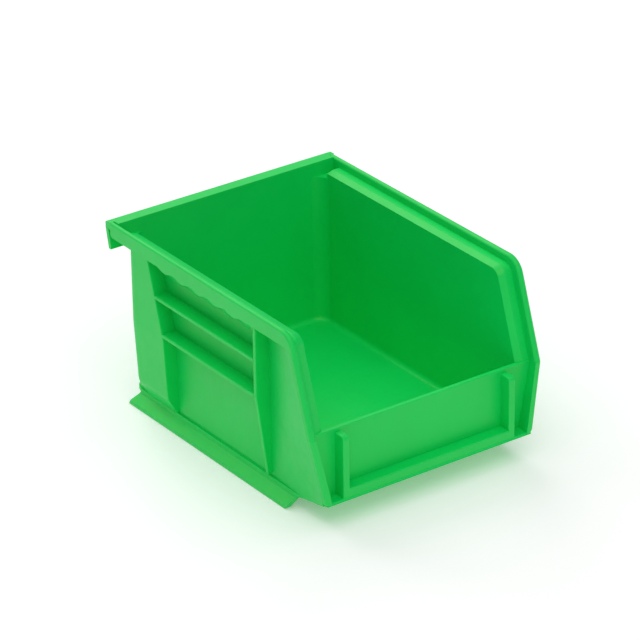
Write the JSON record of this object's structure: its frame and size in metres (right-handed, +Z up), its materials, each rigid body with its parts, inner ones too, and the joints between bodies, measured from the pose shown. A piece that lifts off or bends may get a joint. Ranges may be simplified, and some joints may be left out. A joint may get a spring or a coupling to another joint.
{
  "type": "stackable storage bin",
  "caption": "Small open-front storage bin with a hopper mouth, side rails with finger grips and stacking ledges, splayed foot rails, a label frame and a rear hang lip.",
  "frame": {"origin": "bottom centre of the bin's bounding box, at the height of the feet", "axes": "+Z up, +Y towards the rear wall and the hang lip, +X to the right when facing the rear wall from the open front"},
  "size_m": [0.106, 0.136, 0.0762],
  "materials": {
    "green_polypropylene": "satin injection-moulded polypropylene, solid green, with a fine moulded grain"
  },
  "bodies": {
    "root": {"back_wall": "green_polypropylene", "floor_pan": "green_polypropylene", "front_bottom_rim": "green_polypropylene", "front_wall": "green_polypropylene", "hang_lip_bridge": "green_polypropylene", "hang_lip_hook": "green_polypropylene", "label_sill": "green_polypropylene", "left_finger_grip": "green_polypropylene", "left_foot_rail": "green_polypropylene", "left_front_cheek": "green_polypropylene", "left_front_flange": "green_polypropylene", "left_front_ledge": "green_polypropylene", "left_front_rib": "green_polypropylene", "left_label_leg": "green_polypropylene", "left_lower_side_rib": "green_polypropylene", "left_nose_lip": "green_polypropylene", "left_rear_corner": "green_polypropylene", "left_rear_post": "green_polypropylene", "left_side_wall": "green_polypropylene", "left_stack_ledge": "green_polypropylene", "left_top_rail": "green_polypropylene", "left_upper_side_rib": "green_polypropylene", "right_finger_grip": "green_polypropylene", "right_foot_rail": "green_polypropylene", "right_front_cheek": "green_polypropylene", "right_front_flange": "green_polypropylene", "right_front_ledge": "green_polypropylene", "right_front_rib": "green_polypropylene", "right_label_leg": "green_polypropylene", "right_lower_side_rib": "green_polypropylene", "right_nose_lip": "green_polypropylene", "right_rear_corner": "green_polypropylene", "right_rear_post": "green_polypropylene", "right_side_wall": "green_polypropylene", "right_stack_ledge": "green_polypropylene", "right_top_rail": "green_polypropylene", "right_upper_side_rib": "green_polypropylene"}
  },
  "joints": []
}
